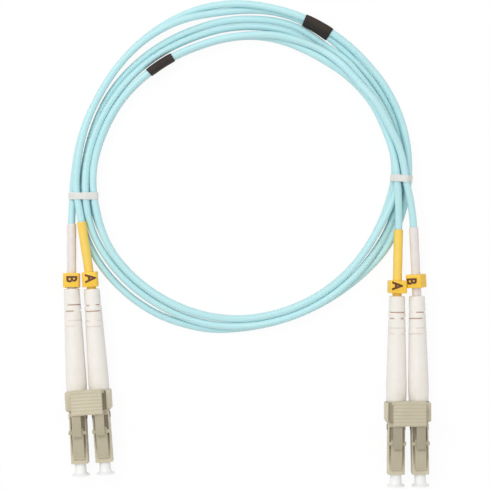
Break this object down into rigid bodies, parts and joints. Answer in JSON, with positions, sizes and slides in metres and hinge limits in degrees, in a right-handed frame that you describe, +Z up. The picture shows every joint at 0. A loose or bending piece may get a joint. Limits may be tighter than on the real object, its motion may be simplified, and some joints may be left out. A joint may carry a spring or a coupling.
{
  "type": "duplex fibre patch cord",
  "caption": "Duplex fibre optic patch cord, coiled and tied, with clipped pairs of small latching plugs, strain relief boots, dust caps and polarity markers.",
  "frame": {"origin": "on the table, under the middle of the two pairs of plugs with their boots", "axes": "+X from the left pair of plugs to the right pair, +Y from the plugs to the coil, +Z up from the table"},
  "size_m": [0.0961, 0.1274, 0.0096],
  "materials": {
    "beige_plastic": "satin moulded",
    "latch_plastic": "satin moulded",
    "white_plastic": "satin moulded",
    "cap_plastic": "glossy moulded",
    "zirconia": "polished ceramic",
    "nickel": "nickel plated",
    "spring_steel": "drawn wire",
    "aqua_jacket": "smooth jacket",
    "white_sleeve": "shrunk tube",
    "yellow_sleeve": "shrunk tube",
    "yellow_marker": "moulded ring",
    "black_band": "shrunk tube",
    "white_tie": "thin strap",
    "glass_fibre": "buffered fibre"
  },
  "bodies": {
    "cord": {"left_b_housing": "beige_plastic", "left_b_spring": "spring_steel", "left_b_crimp_body": "nickel", "left_b_crimp_sleeve": "nickel", "left_b_boot": "white_plastic", "left_b_sleeve": "white_sleeve", "left_b_lead": "aqua_jacket", "left_a_housing": "beige_plastic", "left_a_spring": "spring_steel", "left_a_crimp_body": "nickel", "left_a_crimp_sleeve": "nickel", "left_a_boot": "white_plastic", "left_a_sleeve": "yellow_sleeve", "left_a_lead": "aqua_jacket", "right_a_housing": "beige_plastic", "right_a_spring": "spring_steel", "right_a_crimp_body": "nickel", "right_a_crimp_sleeve": "nickel", "right_a_boot": "white_plastic", "right_a_sleeve": "yellow_sleeve", "right_a_lead": "aqua_jacket", "right_b_housing": "beige_plastic", "right_b_spring": "spring_steel", "right_b_crimp_body": "nickel", "right_b_crimp_sleeve": "nickel", "right_b_boot": "white_plastic", "right_b_sleeve": "white_sleeve", "right_b_lead": "aqua_jacket", "left_clip": "beige_plastic", "right_clip": "beige_plastic", "fibres": "glass_fibre", "coil_a": "aqua_jacket", "coil_b": "aqua_jacket", "outer_band": "black_band", "inner_band": "black_band", "left_tie": "white_tie", "right_tie": "white_tie"},
    "left_trigger": {"left_trigger": "beige_plastic"},
    "right_trigger": {"right_trigger": "beige_plastic"},
    "left_b_latch": {"left_b_latch": "latch_plastic"},
    "left_b_ferrule": {"left_b_ferrule": "zirconia", "left_b_ferrule_holder": "nickel"},
    "left_b_dust_cap": {"left_b_dust_cap": "cap_plastic"},
    "left_b_marker": {"left_b_marker": "yellow_marker"},
    "left_a_latch": {"left_a_latch": "latch_plastic"},
    "left_a_ferrule": {"left_a_ferrule": "zirconia", "left_a_ferrule_holder": "nickel"},
    "left_a_dust_cap": {"left_a_dust_cap": "cap_plastic"},
    "left_a_marker": {"left_a_marker": "yellow_marker"},
    "right_a_latch": {"right_a_latch": "latch_plastic"},
    "right_a_ferrule": {"right_a_ferrule": "zirconia", "right_a_ferrule_holder": "nickel"},
    "right_a_dust_cap": {"right_a_dust_cap": "cap_plastic"},
    "right_a_marker": {"right_a_marker": "yellow_marker"},
    "right_b_latch": {"right_b_latch": "latch_plastic"},
    "right_b_ferrule": {"right_b_ferrule": "zirconia", "right_b_ferrule_holder": "nickel"},
    "right_b_dust_cap": {"right_b_dust_cap": "cap_plastic"},
    "right_b_marker": {"right_b_marker": "yellow_marker"}
  },
  "joints": [
    {"name": "left_trigger_press", "type": "hinge", "parent": "cord", "child": "left_trigger", "pos_m": [-0.04187, -0.00084, 0.0076], "axis": [0.998, 0.0628, 0], "range_deg": [0, 6], "stiffness_Nm_per_rad": 0.05},
    {"name": "right_trigger_press", "type": "hinge", "parent": "cord", "child": "right_trigger", "pos_m": [0.04165, -0.0038, 0.0076], "axis": [1, 0.0052, 0], "range_deg": [0, 6], "stiffness_Nm_per_rad": 0.05},
    {"name": "left_b_latch_flex", "type": "hinge", "parent": "cord", "child": "left_b_latch", "pos_m": [-0.04396, -0.0182, 0.0059], "axis": [0.9987, 0.0502, 0], "range_deg": [-7.5, 0], "stiffness_Nm_per_rad": 0.005},
    {"name": "left_b_ferrule_float", "type": "slide", "parent": "cord", "child": "left_b_ferrule", "axis": [-0.0502, 0.9987, 0], "range_m": [0, 0.0007], "stiffness_N_per_m": 300, "deforming": ["left_b_spring"]},
    {"name": "left_b_dust_cap_pull", "type": "slide", "parent": "cord", "child": "left_b_dust_cap", "axis": [0.0502, -0.9987, 0], "range_m": [0, 0.009]},
    {"name": "left_b_marker_slide", "type": "slide", "parent": "cord", "child": "left_b_marker", "axis": [-0.0072, 0.997, -0.0764], "range_m": [0, 0.007]},
    {"name": "left_a_latch_flex", "type": "hinge", "parent": "cord", "child": "left_a_latch", "pos_m": [-0.03763, -0.0178, 0.0059], "axis": [0.9972, 0.0753, 0], "range_deg": [-7.5, 0], "stiffness_Nm_per_rad": 0.005},
    {"name": "left_a_ferrule_float", "type": "slide", "parent": "cord", "child": "left_a_ferrule", "axis": [-0.0753, 0.9972, 0], "range_m": [0, 0.0007], "stiffness_N_per_m": 300, "deforming": ["left_a_spring"]},
    {"name": "left_a_dust_cap_pull", "type": "slide", "parent": "cord", "child": "left_a_dust_cap", "axis": [0.0753, -0.9972, 0], "range_m": [0, 0.009]},
    {"name": "left_a_marker_slide", "type": "slide", "parent": "cord", "child": "left_a_marker", "axis": [-0.1505, 0.9886, 0.0056], "range_m": [0, 0.001]},
    {"name": "right_a_latch_flex", "type": "hinge", "parent": "cord", "child": "right_a_latch", "pos_m": [0.03857, -0.02102, 0.0059], "axis": [1, -0.0073, 0], "range_deg": [-7.5, 0], "stiffness_Nm_per_rad": 0.005},
    {"name": "right_a_ferrule_float", "type": "slide", "parent": "cord", "child": "right_a_ferrule", "axis": [0.0073, 1, 0], "range_m": [0, 0.0007], "stiffness_N_per_m": 300, "deforming": ["right_a_spring"]},
    {"name": "right_a_dust_cap_pull", "type": "slide", "parent": "cord", "child": "right_a_dust_cap", "axis": [-0.0073, -1, 0], "range_m": [0, 0.009]},
    {"name": "right_a_marker_slide", "type": "slide", "parent": "cord", "child": "right_a_marker", "axis": [0.0228, 0.9997, 0.0086], "range_m": [-0.0006, 0.0005]},
    {"name": "right_b_latch_flex", "type": "hinge", "parent": "cord", "child": "right_b_latch", "pos_m": [0.04491, -0.02098, 0.0059], "axis": [0.9998, 0.0178, 0], "range_deg": [-7.5, 0], "stiffness_Nm_per_rad": 0.005},
    {"name": "right_b_ferrule_float", "type": "slide", "parent": "cord", "child": "right_b_ferrule", "axis": [-0.0178, 0.9998, 0], "range_m": [0, 0.0007], "stiffness_N_per_m": 300, "deforming": ["right_b_spring"]},
    {"name": "right_b_dust_cap_pull", "type": "slide", "parent": "cord", "child": "right_b_dust_cap", "axis": [0.0178, -0.9998, 0], "range_m": [0, 0.009]},
    {"name": "right_b_marker_slide", "type": "slide", "parent": "cord", "child": "right_b_marker", "axis": [-0.0505, 0.9983, 0.0277], "range_m": [-0.0019, 0.007]}
  ],
  "couplings": [
    {"joint": "left_b_latch_flex", "follows": "left_trigger_press", "ratio": -1.25},
    {"joint": "left_a_latch_flex", "follows": "left_trigger_press", "ratio": -1.25},
    {"joint": "right_a_latch_flex", "follows": "right_trigger_press", "ratio": -1.25},
    {"joint": "right_b_latch_flex", "follows": "right_trigger_press", "ratio": -1.25}
  ]
}
